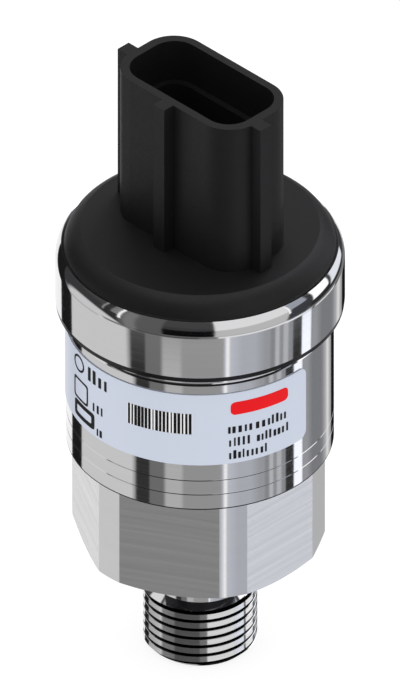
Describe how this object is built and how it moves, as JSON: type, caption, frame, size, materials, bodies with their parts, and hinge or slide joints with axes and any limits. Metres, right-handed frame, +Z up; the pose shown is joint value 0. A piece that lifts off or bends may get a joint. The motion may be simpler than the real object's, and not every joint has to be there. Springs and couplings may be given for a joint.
{
  "type": "pressure transmitter",
  "caption": "Pressure transmitter with a threaded steel port, a hexagon, a turned steel housing, a label and a black plug with three blades.",
  "frame": {"origin": "middle of the pressure port's free end, on the common axis, at the bottom of the part", "axes": "+Z up the common axis from the port to the plug; the plug's long side runs along X and its lock ramp is on the +Y side"},
  "size_m": [0.0282, 0.0282, 0.0657],
  "materials": {
    "turned_steel": "turned, flats finely lined",
    "polished_steel": "polished",
    "black_plastic": "satin",
    "label_film": "satin",
    "tinned_blades": "tinned",
    "sealing_resin": "gloss",
    "seal_rubber": "matte",
    "silicon": "polished",
    "bead_glass": "gloss",
    "gold_pins": "gold plated",
    "carrier_plastic": "satin",
    "circuit_board": "satin",
    "chip_plastic": "matte",
    "capacitor_ceramic": "satin"
  },
  "bodies": {
    "root": {"blade_1": "tinned_blades", "blade_2": "tinned_blades", "blade_3": "tinned_blades", "blade_sealant": "sealing_resin", "board_carrier": "carrier_plastic", "connector_plug": "black_plastic", "crimp_ring": "polished_steel", "diaphragm": "turned_steel", "fill_ball": "turned_steel", "filter_capacitors": "capacitor_ceramic", "glass_beads": "bead_glass", "header_pins": "gold_pins", "label": "label_film", "link_pins": "gold_pins", "link_strip": "carrier_plastic", "lock_ring": "turned_steel", "lower_board": "circuit_board", "lower_capacitors": "capacitor_ceramic", "lower_resistors": "chip_plastic", "plug_seal": "seal_rubber", "port_body": "turned_steel", "sensor_die": "silicon", "sensor_header": "turned_steel", "sensor_seal": "seal_rubber", "signal_chip": "chip_plastic", "sleeve": "polished_steel", "surge_diode": "chip_plastic", "upper_board": "circuit_board", "weld_ring": "turned_steel"}
  },
  "joints": []
}
